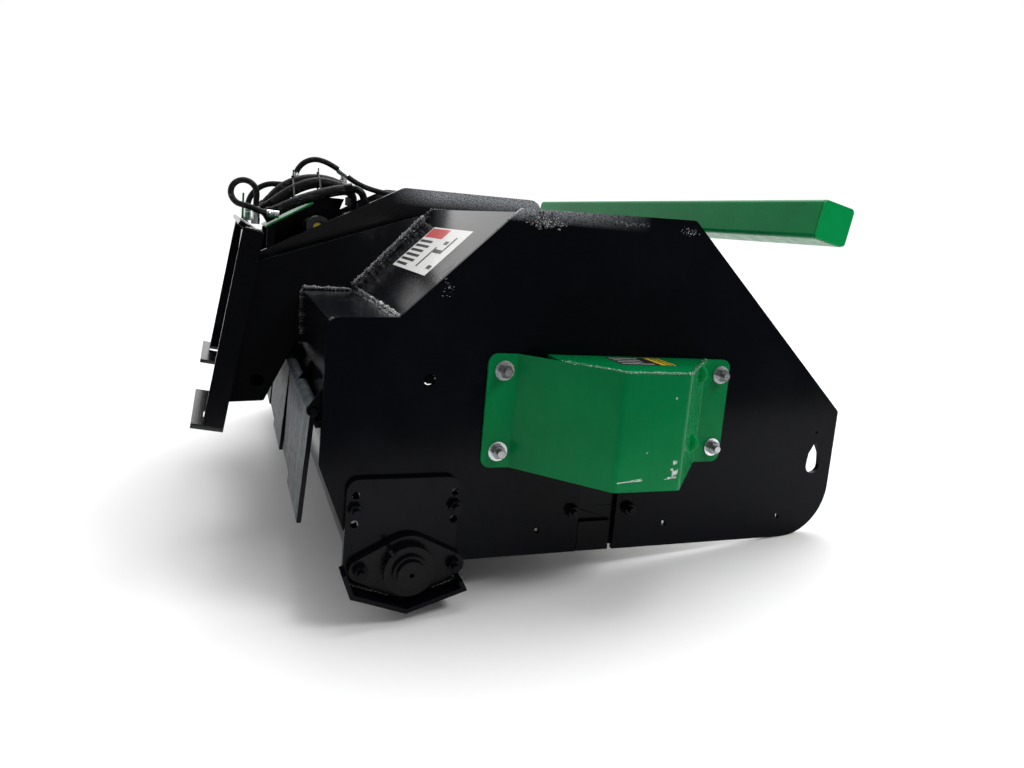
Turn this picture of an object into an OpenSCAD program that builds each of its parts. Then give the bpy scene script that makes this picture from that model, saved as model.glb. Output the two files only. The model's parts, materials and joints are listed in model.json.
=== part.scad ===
// Drum mulcher head for a skid-steer loader.
// +X points forward (working direction), +Y to the machine's left, +Z up.
// Every sub-part is drawn square to its own side plate: x from the plate's rear edge,
// z from its bottom edge, y from mid-width. stance() then tips the head nose-down until
// it stands on its rear roller and on the front skid corners of the side plates.

/* [Overall] */
// Width over the two side plates
overall_w = 1853; // [1500:1:2200]
// Thickness of each side plate
side_t = 12; // [8:1:20]
// Thickness of the hood skin
skin_t = 10; // [6:1:14]
// Length of a side plate
side_len = 1341; // [1100:1:1600]
// Height of a side plate
side_h = 799; // [600:1:1000]
// Radius of the skid corner at the front of a side plate
skid_r = 139; // [80:1:200]

/* [Rotor] */
// Drum axis, forward from the rear edge
drum_x = 659; // [500:1:800]
// Drum axis, up from the bottom edge
drum_z = 344; // [250:1:450]
// Outside radius of the drum tube
drum_r = 203; // [150:1:250]
// Radius swept by the tooth tips
tip_r = 285; // [200:1:320]
// Radius of the drum shaft
drum_shaft_r = 40; // [25:1:60]
// Number of teeth on the drum
tooth_count = 36; // [20:2:60]

/* [Rear roller] */
// Roller axis, forward from the rear edge
roller_x = 192; // [150:1:300]
// Roller axis, up from the bottom edge
roller_z = 8; // [-40:1:80]
// Outside radius of the roller tube
roller_r = 109.5; // [60:0.5:150]
// Radius of the roller shaft
roller_shaft_r = 30; // [20:1:40]
// Distance from the bearing centre to each of its two bolts
bearing_half_pitch = 101; // [60:0.5:120]

/* [Drum guards] */
// Rear edge of the guard's flange
guard_x = 346; // [250:1:450]
// Lower edge of the guard's flange
guard_z = 215; // [150:1:300]
// Length of the flange
guard_len = 627; // [500:1:750]
// Height of the flange
guard_h = 257; // [180:1:320]
// How far the guard stands out from the side plate
guard_out = 193; // [100:1:220]
// Sheet thickness of the guard
guard_t = 6; // [4:1:10]

/* [Loader plate] */
// Width of the universal loader plate
attach_w = 1172; // [1100:1:1200]
// Height of the loader plate
attach_h = 470; // [440:1:500]
// Depth of the end gussets
attach_d = 48; // [40:1:80]
// Tilt of the loader plate, top forward
attach_tilt = 8.8; // [0:0.1:20]

/* [Push bar] */
// Side of the square tube
bar_size = 101.6; // [76:0.1:127]
// Centre of the tube, forward
bar_x = 1239; // [1100:1:1400]
// Centre of the tube, up
bar_z = 828; // [700:1:950]
// Tilt of the tube, nose-down
bar_tilt = 10.6; // [0:0.1:30]
// Arm pivot, forward
pivot_x = 930; // [880:1:1000]
// Arm pivot, up
pivot_z = 765; // [740:1:800]
// Radius of the arm's pivot pin
pivot_r = 15; // [10:1:25]

/* [Rear flaps] */
// Number of flaps across the width
flap_count = 7; // [3:2:9]
// Distance from one flap to the next
flap_pitch = 258; // [150:1:260]
// Length of a flap below its rod
flap_len = 242; // [150:1:320]
// Thickness of a flap
flap_t = 10; // [6:1:16]
// Radius of the flap rod
flap_rod_r = 8; // [6:0.5:12]

/* [Hoses] */
// Radius of the three main hoses
hose_r = 16; // [10:0.5:20]
// Radius of the thin hoses
drain_r = 8.5; // [6:0.5:12]

/* [Hidden] */
$fn = 64;
side_y = overall_w / 2;
inner_y = side_y - side_t;
running_gap = 0.05;
touch_gap = 0.5;
steel = [0.10, 0.105, 0.12];
green = [0.05, 0.50, 0.25];
zinc = [0.72, 0.73, 0.75];
rubber = [0.07, 0.07, 0.075];
cast = [0.16, 0.17, 0.19];
carbide = [0.45, 0.46, 0.48];
yellow = [0.86, 0.72, 0.10];

// Line under the roller and the skid corner, which the head stands on.
skid_c = [side_len - skid_r, skid_r];
stand = skid_c - [roller_x, roller_z];
pitch = atan2(stand.y, stand.x) - asin((skid_r - roller_r) / norm(stand));
stance_z = roller_r + roller_x * sin(pitch) - roller_z * cos(pitch);
// Middle of the head's length, from the nose of a side plate to the loader plate's lips.
nose = [side_len, 341];
attach_foot = [-230, 218];
lip_rear = [-26, -8];
tail = attach_foot + [lip_rear.x * cos(attach_tilt) + lip_rear.y * sin(attach_tilt),
                      lip_rear.y * cos(attach_tilt) - lip_rear.x * sin(attach_tilt)];
stance_x = -(forward(nose) + forward(tail)) / 2;

hood_outer = [[6, 300], [6, 528], [146, 532], [391, 778], [835, 789], [1000, 641]];
hood_low = [[0, 300], [0, -200], [1400, -200], [1400, 641]];
cant = 19.65;
neck_foot_y = 502;
rail_y = 158;
rail_t = 16;
flap_axis = [-15, 337];
flap_gap = 7;
arm_y = 250;
arm_t = 20;
bracket_t = 16;
lip_y = 222;
block_x = 480;
block_y = 76;
rail_top = 839;

function forward(p) = p.x * cos(pitch) + p.y * sin(pitch);
function unit(v) = v / norm(v);
function left_of(v) = [-v.y, v.x];
function turn(a) = a > 180 ? a - 360 : (a < -180 ? a + 360 : a);

// Points of one rounded corner b between a and c.
function corner(a, b, c, r, n = 10) =
    r == 0 ? [b] :
    let (u = unit(a - b), v = unit(c - b), half = acos(u * v) / 2,
         centre = b + unit(u + v) * r / sin(half),
         p = b + u * r / tan(half) - centre, q = b + v * r / tan(half) - centre,
         start = atan2(p.y, p.x), sweep = turn(atan2(q.y, q.x) - start))
    [for (i = [0:n]) centre + r * [cos(start + sweep * i / n), sin(start + sweep * i / n)]];

// Outline through the corners [x, z, radius].
function rounded(c) = [for (i = [0:len(c) - 1])
    let (n = len(c), a = c[(i + n - 1) % n], b = c[i], d = c[(i + 1) % n])
    each corner([a.x, a.y], [b.x, b.y], [d.x, d.y], b.z, b.z > 100 ? 30 : 8)];

// The line p moved t to its right, with mitred corners.
function shifted(p, t) = [for (i = [0:len(p) - 1])
    let (a = i == 0 ? p[1] - p[0] : p[i] - p[i - 1],
         b = i == len(p) - 1 ? a : p[i + 1] - p[i],
         m = -left_of(unit(a)), k = -left_of(unit(b)))
    p[i] + (m + k) * t / (1 + m * k)];

// An open line whose inner corners are bent to radius r.
function bent(p, r) = [p[0], for (i = [1:len(p) - 2]) each corner(p[i - 1], p[i], p[i + 1], r, 8),
                       p[len(p) - 1]];

function backwards(p) = [for (i = [len(p) - 1:-1:0]) p[i]];
function strip(p, t) = concat(p, backwards(shifted(p, t)));

module stance() {
    translate([stance_x, 0, stance_z]) rotate([0, pitch, 0]) children();
}

// A flat x-z outline made into a plate of thickness t, from y0 towards +Y.
module plate(y0, t) {
    translate([0, y0 + t, 0]) rotate([90, 0, 0]) linear_extrude(t) children();
}

// Everything for one side is drawn on the right (-Y) and mirrored for the left.
module side(name) {
    if (name == "left") mirror([0, 1, 0]) children();
    else children();
}

module rod(x, z, y0, y1, r) {
    translate([x, y0, z]) rotate([-90, 0, 0]) cylinder(h = y1 - y0, r = r);
}

module hex(x, z, y0, y1, flats) {
    translate([x, y0, z]) rotate([-90, 0, 0]) cylinder(h = y1 - y0, r = flats / sqrt(3), $fn = 6);
}

module at(x, z) {
    translate([x, z]) children();
}

// Stud, washer and nut, standing out to -Y from the face at y.
module fastener(x, z, y, stud_r, washer_r, washer_t, flats, nut_h, end) {
    rod(x, z, y - washer_t, y, washer_r);
    hex(x, z, y - washer_t - nut_h, y - washer_t, flats);
    rod(x, z, y - washer_t - nut_h - end, y - washer_t - nut_h, stud_r);
}

// Side plates ---------------------------------------------------------------

slot_x = [604, 702];
bracket_rows = [166, 134.5, 103.5];
bracket_cols = [76.5, 291.4];

module side_outline() {
    polygon(rounded([[0, 225, 8], [60, 75, 12], [135, 0, 12], [side_len, 0, skid_r],
                     [side_len, 341, 14], [831, side_h, 16], [394, 787, 16],
                     [145, 540, 10], [0, 535, 26]]));
}

module side_holes() {
    at(roller_x - 45, -20) square([90, 95]);
    at(roller_x, 75) circle(45);
    at(slot_x[0], -20) square([slot_x[1] - slot_x[0], drum_z + 20]);
    at(drum_x, drum_z) circle(58);
    for (x = [500, 841, 1188]) at(x - 6, 52) square(12);
    at(219, 410) circle(13);
    at(1281, 194) circle(21.5);
    polygon([[1259.5, 200], [1302.5, 200], [1299, 227], [1287, 248], [1275, 248], [1263, 227]]);
    at(1281, 247) circle(6.5);
    at(1279, 284) circle(3.5);
    for (x = bracket_cols, z = bracket_rows) at(x, z) circle(9);
    for (x = [383, 947], z = [253, 435]) at(x, z) circle(9);
    for (x = [585, 735]) at(x, 102) circle(9);
}

module side_plate(name) {
    color(steel) stance() side(name) plate(-side_y, side_t) difference() {
        side_outline();
        side_holes();
    }
}

module side_plate_right() { side_plate("right"); }
module side_plate_left() { side_plate("left"); }

// Closes the foot of the drum slot, bolted through a strap on the inside.
module slot_fillers() {
    color(steel) stance() for (name = ["right", "left"]) side(name) {
        plate(-side_y + 1, side_t - 1) at(606, 0) square([84, 73]);
        difference() {
            plate(-inner_y, 10) union() {
                at(560, 78) square([200, 150]);
                at(606, 8) square([110, 72]);
            }
            for (x = [585, 735]) rod(x, 102, -side_y, -inner_y + 20, 9);
        }
    }
}

module filler_bolts() {
    color(steel) stance() for (name = ["right", "left"], x = [585, 735]) side(name) {
        fastener(x, 102, -side_y, 8, 17, 3, 27, 13, 9);
        rod(x, 102, -side_y, -inner_y + 10, 8);
        hex(x, 102, -inner_y + 10, -inner_y + 20, 24);
    }
}

// Hood ----------------------------------------------------------------------

module hood_skin() {
    color(steel) stance() plate(-inner_y, 2 * inner_y) polygon(strip(hood_outer, skin_t));
}

// Everything on the drum's side of the hood's outer face.
module hood_inside() {
    polygon(concat(hood_outer, backwards(hood_low)));
}

// Square bars that stiffen the skin's front edge and its rear edge, the shear bar; the stands
// of the port block; and the webs inside the rails that carry the hose tray.
web_y = 136;

module hood_bars() {
    last = hood_outer[5] - hood_outer[4];
    color(steel) stance() {
        translate([hood_outer[5].x, 0, hood_outer[5].y]) rotate([0, -atan2(last.y, last.x), 0])
            translate([-60, -inner_y, -skin_t - 50]) cube([60, 2 * inner_y, 50]);
        translate([16, -inner_y, 301]) cube([38, 2 * inner_y, 38]);
        for (y = [-90, -5]) plate(y, 12) difference() {
            polygon([[155, 500], [209, 500], [209, 689], [155, 689]]);
            hood_inside();
        }
        plate(web_y, 5.5) polygon([[-84, 605], [146, 725], [170, 790], [60, 790], [44, 758],
                                   [-84, 679]]);
        plate(-web_y - 5.5, 5.5) polygon([[-82, 618], [-60, 630], [-60, 692], [-82, 679]]);
    }
}

// Neck ----------------------------------------------------------------------

module attach_frame() {
    translate([attach_foot.x, 0, attach_foot.y]) rotate([0, attach_tilt, 0]) children();
}

// Front face of the loader plate at height z.
function attach_front(z) = attach_foot.x + attach_d / cos(attach_tilt)
    + (z - attach_foot.y) * tan(attach_tilt);

module frame_rail(name) {
    color(steel) stance() side(name) difference() {
        plate(-rail_y, rail_t) difference() {
            polygon(rounded([[attach_front(248), 248, 0], [attach_front(602), 602, 0],
                             [304, 835, 30], [752, rail_top, 38], [752, 770, 0], [10, 248, 0]]));
            hood_inside();
            polygon([[-92, 248], [6, 433], [20, 433], [20, 248]]);
        }
        if (name == "left") for (x = pipe_x) rod(x, pipe_z, -rail_y - 5, -rail_y + 30, pipe_r + 5);
    }
}

module frame_rail_right() { frame_rail("right"); }
module frame_rail_left() { frame_rail("left"); }

module neck_plane(name) {
    side(name) translate([0, -neck_foot_y, 0]) rotate([-cant, 0, 0]) children();
}

module neck_side(name) {
    k = 1 / cos(cant);
    color(steel) stance() difference() {
        neck_plane(name) plate(0, 12) difference() {
            polygon([[-200, 236 * k], [-200, 560 * k], [attach_front(590), 590 * k],
                     [325, 751 * k], [440, 770 * k], [200, 380 * k], [-8, 392 * k], [-88, 241 * k]]);
            at(-104, 290 * k) circle(17);
        }
        plate(-side_y, 2 * side_y) hood_inside();
        attach_frame() translate([attach_d - 300, -side_y, -100]) cube([300, 2 * side_y, 700]);
    }
}

module neck_side_right() { neck_side("right"); }
module neck_side_left() { neck_side("left"); }

module neck_floor() {
    color(steel) stance() difference() {
        plate(-420, 840) polygon([[attach_front(248), 248], [-92, 248], [6, 433],
                                  [6, 412], [-85, 238], [attach_front(238), 238]]);
        for (name = ["right", "left"])
            neck_plane(name) translate([-300, -200, 0]) cube([700, 212, 900]);
    }
}

// Loader plate --------------------------------------------------------------

module attach_plate() {
    w = attach_w - 24;
    color(steel) stance() attach_frame() difference() {
        plate(-w / 2, w) union() {
            at(attach_d - 12, 4) square([12, attach_h - 12]);
            polygon([[attach_d, attach_h - 12], [attach_d, attach_h + 2], [-8, attach_h + 22],
                     [-12, attach_h + 11], [attach_d - 12, attach_h - 12]]);
        }
        for (y = [-230, 0, 230]) translate([attach_d - 20, y, attach_h * 0.62])
            rotate([0, 90, 0]) cylinder(h = 30, r = 45);
    }
}

module attach_end(name) {
    color(steel) stance() attach_frame() side(name) {
        plate(-attach_w / 2, 12) polygon([[0, 4], [attach_d, 4], [attach_d, attach_h + 4],
                                          [0, attach_h + 8]]);
        translate([0, -attach_w / 2 + 12.5, attach_h - 42]) rotate([90, 0, 90]) linear_extrude(8)
            polygon([[0, 0], [0, 42], [78, 42]]);
        translate([30, -attach_w / 2 - 6, attach_h - 20]) rotate([-90, 0, 0]) cylinder(h = 6, r = 9);
    }
}

module attach_end_right() { attach_end("right"); }
module attach_end_left() { attach_end("left"); }

pin_y = 463;
pin_slot = [32, 92];

module attach_lips() {
    color(steel) stance() attach_frame() for (name = ["right", "left"]) side(name) difference() {
        plate(-attach_w / 2, attach_w / 2 - lip_y)
            polygon([[lip_rear.x, -8], [attach_d, -8], [attach_d, 4], [lip_rear.x, 4]]);
        translate([0, -pin_y - pin_slot.y / 2, -12]) cube([pin_slot.x, pin_slot.y, 24]);
    }
}

// Rotor ---------------------------------------------------------------------

module drum_place() {
    stance() translate([drum_x, 0, drum_z]) children();
}

drum_half = inner_y - 26;

module drum_tube() {
    color(steel) drum_place() difference() {
        rod(0, 0, -drum_half, drum_half, drum_r);
        rod(0, 0, -drum_half + 25, drum_half - 25, drum_r - 20);
        for (s = [-1, 1]) rod(0, 0, s * drum_half - 30, s * drum_half + 30, drum_shaft_r + 15);
    }
}

drum_shaft_end = side_y + 72;

module drum_shaft() {
    color(carbide) drum_place() for (s = [0, 1]) mirror([0, s, 0]) {
        rod(0, 0, -drum_shaft_end, -drum_half, drum_shaft_r);
        rod(0, 0, -drum_half - 6, -drum_half + 25, drum_shaft_r + 15);
    }
}

// Teeth stand in two spirals that run from the ends towards the middle.
module on_drum() {
    half = tooth_count / 2;
    for (i = [0:tooth_count - 1]) {
        step = 2 * (drum_half - 30) / (tooth_count - 1);
        rank = i < half ? i : tooth_count - 1 - i;
        translate([0, -drum_half + 30 + i * step, 0])
            rotate([0, rank * 70 + (i < half ? 0 : 35), 0]) children();
    }
}

module tooth_holders() {
    color(steel) drum_place() on_drum() difference() {
        plate(-21, 42) polygon([[-48, drum_r - 8], [34, drum_r - 8], [26, drum_r + 46],
                                [8, drum_r + 62], [-12, drum_r + 46]]);
        rod(0, 0, -30, 30, drum_r);
    }
}

module teeth() {
    color(carbide) drum_place() on_drum()
        plate(-19, 38) polygon([[26, drum_r + 20], [44, drum_r + 20], [46, drum_r + 58],
                                [27, tip_r - 6], [8, drum_r + 62], [26, drum_r + 46]]);
}

module drum_bearing_right() {
    color(cast) drum_place() difference() {
        union() {
            plate(-side_y - 20, 20) polygon(rounded([[-115, -115, 30], [115, -115, 30],
                                                      [115, 115, 30], [-115, 115, 30]]));
            rod(0, 0, -side_y - 62, -side_y - 20, 78);
        }
        rod(0, 0, -side_y - 90, -side_y + 10, drum_shaft_r + running_gap);
    }
}

module hydraulic_motor() {
    color(cast) drum_place() difference() {
        union() {
            plate(side_y, 20) polygon(rounded([[-115, -115, 30], [115, -115, 30],
                                                [115, 115, 30], [-115, 115, 30]]));
            rod(0, 0, side_y + 20, side_y + 165, 72);
            translate([-75, side_y + 70, 40]) cube([150, 70, 50]);
        }
        rod(0, 0, side_y - 10, side_y + 90, drum_shaft_r + running_gap);
    }
}

// Drum guards ---------------------------------------------------------------

// The guard is one bent sheet: this is its inner face, from the rear flange to the front one.
guard_bends = [[guard_x, -side_y], [415, -side_y], [582, -side_y - guard_out + guard_t],
               [737, -side_y - guard_out + guard_t], [897, -side_y], [guard_x + guard_len, -side_y]];

module guard_top() {
    top_y = guard_bends[2].y;
    foot = 485;
    foot_y = guard_bends[1].y + (top_y - guard_bends[1].y) * (foot - 415) / (582 - 415);
    translate([0, 0, guard_z + guard_h - guard_t]) linear_extrude(guard_t)
        polygon([[foot, -side_y], [foot, foot_y], guard_bends[2], guard_bends[3], guard_bends[4]]);
}

module drum_guard(name) {
    flange = [[guard_x, guard_z, 22], [guard_x + guard_len, guard_z, 22],
              [guard_x + guard_len, guard_z + guard_h, 22], [guard_x, guard_z + guard_h, 22]];
    color(green) stance() side(name) difference() {
        union() {
            intersection() {
                translate([0, 0, guard_z]) linear_extrude(guard_h)
                    polygon(strip(bent(guard_bends, 14), guard_t));
                plate(-side_y - guard_out - 10, guard_out + 20) polygon(rounded(flange));
            }
            guard_top();
        }
        for (x = [383, 947], z = [253, 435]) rod(x, z, -side_y - 20, -side_y + 5, 9);
        if (name == "left") for (x = pipe_x)
            translate([x, -pipe_y, guard_z + guard_h - 20]) cylinder(h = 40, r = pipe_r + 4);
    }
}

module drum_guard_right() { drum_guard("right"); }
module drum_guard_left() { drum_guard("left"); }

module guard_fasteners() {
    color(zinc) stance() for (name = ["right", "left"], x = [383, 947], z = [253, 435]) side(name) {
        fastener(x, z, -side_y - guard_t, 8, 22, 4, 27, 14, 10);
        rod(x, z, -side_y - guard_t, -inner_y, 8);
    }
}

// Rear roller ---------------------------------------------------------------

roller_half = inner_y - 7;

module roller_tube() {
    color(steel) stance() difference() {
        rod(roller_x, roller_z, -roller_half, roller_half, roller_r);
        rod(roller_x, roller_z, -roller_half + 12, roller_half - 12, roller_r - 9);
        rod(roller_x, roller_z, -roller_half - 5, roller_half + 5, roller_shaft_r);
    }
}

roller_shaft_end = side_y + 75;

module roller_shaft() {
    color(steel) stance() difference() {
        rod(roller_x, roller_z, -roller_shaft_end, roller_shaft_end, roller_shaft_r);
        for (s = [-1, 1]) rod(roller_x, roller_z, s * roller_shaft_end - 14, s * roller_shaft_end + 14, 5);
    }
}

// Two circles of a two-bolt flange and their straight tangents.
module rhombus(big, small, d) {
    lean = acos((big - small) / d);
    circle(big);
    for (s = [-1, 1]) translate([s * d, 0]) circle(small);
    polygon([for (a = [lean, -lean]) [d + small * cos(a), small * sin(a)],
             for (a = [lean, -lean]) [-d - small * cos(a), -small * sin(a)]]);
    polygon([for (a = [lean, 180 - lean, 180 + lean, -lean]) big * [cos(a), sin(a)]]);
    for (s = [0, 1]) mirror([s, 0]) polygon([[big * cos(lean), big * sin(lean)],
        [d + small * cos(lean), small * sin(lean)], [d + small * cos(lean), -small * sin(lean)],
        [big * cos(lean), -big * sin(lean)]]);
}

module roller_bearing(name) {
    y = side_y + bracket_t;
    color(cast) stance() side(name) difference() {
        union() {
            plate(-y - 18, 18) at(roller_x, roller_z) rhombus(70, 24, bearing_half_pitch);
            rod(roller_x, roller_z, -y - 40, -y - 18, 55);
            rod(roller_x, roller_z, -y - 50, -y - 40, 38);
            translate([roller_x - 34, -y - 38, roller_z + 36]) rotate([0, -40, 0]) cylinder(h = 20, r = 5);
        }
        rod(roller_x, roller_z, -y - 60, -y + 5, roller_shaft_r + running_gap);
        for (s = [-1, 1]) rod(roller_x + s * bearing_half_pitch, roller_z, -y - 30, -y + 5, 8.5);
    }
}

module roller_bearing_right() { roller_bearing("right"); }
module roller_bearing_left() { roller_bearing("left"); }

bracket_lip = [[49, 12], [68, -38], [188, -81], [320, -40], [308, -17]];

module roller_bracket(name) {
    color(steel) stance() side(name) {
        plate(-side_y - bracket_t, bracket_t) difference() {
            polygon(rounded([[57, 200, 26], [57, -9, 0], [68, -38, 0], [188, -81, 0],
                             [300, -43, 0], [300, 200, 26]]));
            for (x = bracket_cols, z = bracket_rows) at(x, z) circle(8.5);
            at(roller_x, roller_z) circle(40);
            for (s = [-1, 1]) at(roller_x + s * bearing_half_pitch, roller_z) circle(8.5);
        }
        plate(-side_y - bracket_t - 50, 50) polygon(strip(backwards(bracket_lip), 10));
    }
}

module roller_bracket_right() { roller_bracket("right"); }
module roller_bracket_left() { roller_bracket("left"); }

module bracket_bolts() {
    color(steel) stance() for (name = ["right", "left"], x = bracket_cols) side(name) {
        z = bracket_rows[1];
        fastener(x, z, -side_y - bracket_t, 8, 14, 3, 27, 13, 10);
        rod(x, z, -side_y - bracket_t, -inner_y + 1, 8);
        hex(x, z, -inner_y, -inner_y + 10, 24);
    }
}

module bearing_bolts() {
    y = side_y + bracket_t;
    color(steel) stance() for (name = ["right", "left"], s = [-1, 1]) side(name) {
        fastener(roller_x + s * bearing_half_pitch, roller_z, -y - 18, 8, 15, 3, 27, 14, 11);
        rod(roller_x + s * bearing_half_pitch, roller_z, -y - 18, -y, 8);
    }
}

// Rear flaps ----------------------------------------------------------------

flap_span = flap_count * flap_pitch / 2;
knuckle_r = 14;

module flap_rod() {
    color(steel) stance() rod(flap_axis.x, flap_axis.y, -flap_span - 12, flap_span + 12, flap_rod_r);
}

// Strip on the hood's rear wall that the hanging flaps rest against.
module flap_stop() {
    front = flap_axis.x + flap_t / 2 + touch_gap;
    translate([front, -flap_span, 300]) cube([hood_outer[0].x - front, 2 * flap_span, 14]);
}

module flap_lugs() {
    color(steel) stance() flap_stop();
    color(steel) stance() difference() {
        for (i = [0:flap_count]) translate([0, -flap_span + i * flap_pitch - 2.5, 0]) plate(0, 5)
            union() {
                at(flap_axis.x, flap_axis.y) circle(knuckle_r - 1);
                polygon([[flap_axis.x - knuckle_r + 1, flap_axis.y], [flap_axis.x - knuckle_r + 1, 342],
                         [hood_outer[0].x, 395], [hood_outer[0].x, flap_axis.y]]);
            }
        rod(flap_axis.x, flap_axis.y, -flap_span - 20, flap_span + 20, flap_rod_r);
    }
}

// Each flap hangs a little off the stop strip, by its own angle.
flap_lean = [4, 2, 4.5, 3, 4, 2.5, 3.5];

module flap(i) {
    mid = -flap_span + (i - 0.5) * flap_pitch;
    half = (flap_pitch - flap_gap) / 2;
    color(steel) stance() translate([flap_axis.x, 0, flap_axis.y]) rotate([0, flap_lean[i - 1], 0])
        translate([-flap_axis.x, 0, -flap_axis.y]) difference() {
        plate(mid - half, 2 * half) union() {
            at(flap_axis.x, flap_axis.y) circle(knuckle_r);
            polygon(rounded([[flap_axis.x - flap_t / 2, flap_axis.y, 0],
                             [flap_axis.x - flap_t / 2, flap_axis.y - flap_len, 2],
                             [flap_axis.x + flap_t / 2, flap_axis.y - flap_len, 2],
                             [flap_axis.x + flap_t / 2, flap_axis.y, 0]]));
        }
        rod(flap_axis.x, flap_axis.y, mid - flap_pitch, mid + flap_pitch, flap_rod_r + running_gap);
    }
}

module flap_1() { flap(1); }
module flap_2() { flap(2); }
module flap_3() { flap(3); }
module flap_4() { flap(4); }
module flap_5() { flap(5); }
module flap_6() { flap(6); }
module flap_7() { flap(7); }

// Push bar ------------------------------------------------------------------

module bar_frame() {
    stance() translate([bar_x, 0, bar_z]) rotate([0, bar_tilt, 0]) children();
}

function square_tube(s, r) = rounded([[-s / 2, -s / 2, r], [s / 2, -s / 2, r],
                                      [s / 2, s / 2, r], [-s / 2, s / 2, r]]);

module push_bar() {
    color(green) bar_frame() plate(-side_y + 6, overall_w - 12) difference() {
        polygon(square_tube(bar_size, 13));
        polygon(square_tube(bar_size - 12.7, 7));
    }
}

module push_bar_caps() {
    color(green) bar_frame() for (name = ["right", "left"]) side(name)
        plate(-side_y, 6) polygon(square_tube(bar_size - 3, 11));
}

module push_arm(name) {
    color(green) stance() side(name) difference() {
        plate(-arm_y - arm_t / 2, arm_t) difference() {
            polygon(rounded([[pivot_x - 40, pivot_z + 40, 39], [1200, 821, 0], [1255, 800, 0],
                             [1262, 760, 0], [1235, 735, 12], [1110, 700, 40],
                             [pivot_x - 40, pivot_z - 40, 39]]));
            at(bar_x, bar_z) rotate(-bar_tilt) square(bar_size, center = true);
        }
        rod(pivot_x, pivot_z, -arm_y - 40, -arm_y + 40, pivot_r + running_gap);
    }
}

module push_arm_right() { push_arm("right"); }
module push_arm_left() { push_arm("left"); }

module arm_lugs() {
    color(steel) stance() for (name = ["right", "left"]) side(name) difference() {
        for (s = [-1, 1]) plate(-arm_y + s * (arm_t / 2 + 9) - 8, 16) difference() {
            polygon(rounded([[840, 740, 0], [pivot_x - 42, pivot_z + 42, 40],
                             [pivot_x + 42, pivot_z + 42, 40], [1000, 660, 0], [980, 600, 0]]));
            hood_inside();
        }
        rod(pivot_x, pivot_z, -arm_y - 60, -arm_y + 60, pivot_r);
    }
}

module arm_pins() {
    color(zinc) stance() for (name = ["right", "left"]) side(name) {
        rod(pivot_x, pivot_z, -arm_y - 33, -arm_y + 33, pivot_r);
        rod(pivot_x, pivot_z, -arm_y - 39, -arm_y - 33, pivot_r + 7);
        rod(pivot_x, pivot_z, -arm_y + 27.5, -arm_y + 33, pivot_r + 7);
    }
}

// Hydraulics ----------------------------------------------------------------

pipe_x = [605, 715];
pipe_z = 812;
pipe_r = 12.5;
pipe_y = side_y + 105;
pipe_bend = 45;
block_z = 788;
port_block = [[150, -115, 690], [64, 140, 55]];

// The main block on the hood, and the port block that the main hoses come to.
module valve_block() {
    color(cast) stance() {
        translate([block_x, -block_y, block_z + 2]) cube([270, 2 * block_y, 46]);
        translate(port_block[0]) cube(port_block[1]);
    }
}

module motor_pipes() {
    foot = drum_z + 90;
    color(zinc) stance() for (x = pipe_x) {
        rod(x, pipe_z, block_y, pipe_y - pipe_bend, pipe_r);
        translate([x, pipe_y - pipe_bend, pipe_z - pipe_bend]) rotate([90, 0, 90])
            rotate_extrude(angle = 90) translate([pipe_bend, 0]) circle(pipe_r);
        translate([x, pipe_y, foot]) cylinder(h = pipe_z - pipe_bend - foot, r = pipe_r);
    }
    color(zinc) stance() for (y = [-58, 2]) translate([0, y, 0]) port_pipe();
}

// Pipe from the port block, up the slope of the hood and into the main block.
port_pipe_x = [240, 357.85];
port_pipe_z = [720, 813];
port_bend = 30;

module port_pipe() {
    dip = port_bend * sin(45);
    foot = [port_pipe_x[0] + dip, port_pipe_z[0] + port_bend - dip];
    translate([214.5, 0, port_pipe_z[0]]) rotate([0, 90, 0])
        cylinder(h = port_pipe_x[0] - 214.5, r = pipe_r);
    translate([port_pipe_x[0], 0, port_pipe_z[0] + port_bend]) rotate([90, 90, 0])
        rotate_extrude(angle = 45) translate([port_bend, 0]) circle(pipe_r);
    translate([foot.x, 0, foot.y]) rotate([0, 45, 0])
        cylinder(h = (port_pipe_x[1] - dip - foot.x) * sqrt(2), r = pipe_r);
    translate([port_pipe_x[1], 0, port_pipe_z[1] - port_bend]) rotate([90, -90, 0])
        rotate_extrude(angle = 45) translate([port_bend, 0]) circle(pipe_r);
    translate([port_pipe_x[1], 0, port_pipe_z[1]]) rotate([0, 90, 0])
        cylinder(h = 479.5 - port_pipe_x[1], r = pipe_r);
}

tray_line = [[-84, 683], [44, 762]];
tray_t = 5;

module hose_tray() {
    color(green) stance() {
        plate(-rail_y + rail_t, 2 * (rail_y - rail_t)) polygon(strip(tray_line, -tray_t));
        translate([-150, -60, 701]) cube([5, 80, 75]);
    }
}

ring_c = [65, 693.5];

module knurled_coupling() {
    color(cast) stance() {
        difference() {
            rod(ring_c.x, ring_c.y, -120, -60, 35);
            rod(ring_c.x, ring_c.y, -130, -108, 20);
        }
        rod(ring_c.x, ring_c.y, -60, web_y - touch_gap, 27);
    }
}

module yellow_plug() {
    color(yellow) stance() rod(ring_c.x, ring_c.y, -113, -108, 16);
}

// A round tube of radius r swept along the points p, closed by flat ends.
module swept(p, r, n = 10) {
    last = len(p) - 1;
    rings = [for (i = [0:last])
        let (t = unit(p[min(i + 1, last)] - p[max(i - 1, 0)]),
             s = unit(cross(t, [0, 0.2, 1])), u = cross(s, t))
        for (k = [0:n - 1]) p[i] + r * (cos(k * 360 / n) * s + sin(k * 360 / n) * u)];
    polyhedron(rings, concat(
        [[for (k = [0:n - 1]) k]], [[for (k = [n - 1:-1:0]) last * n + k]],
        [for (i = [0:last - 1], k = [0:n - 1])
            [i * n + k, (i + 1) * n + k, (i + 1) * n + (k + 1) % n, i * n + (k + 1) % n]]));
}

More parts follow.
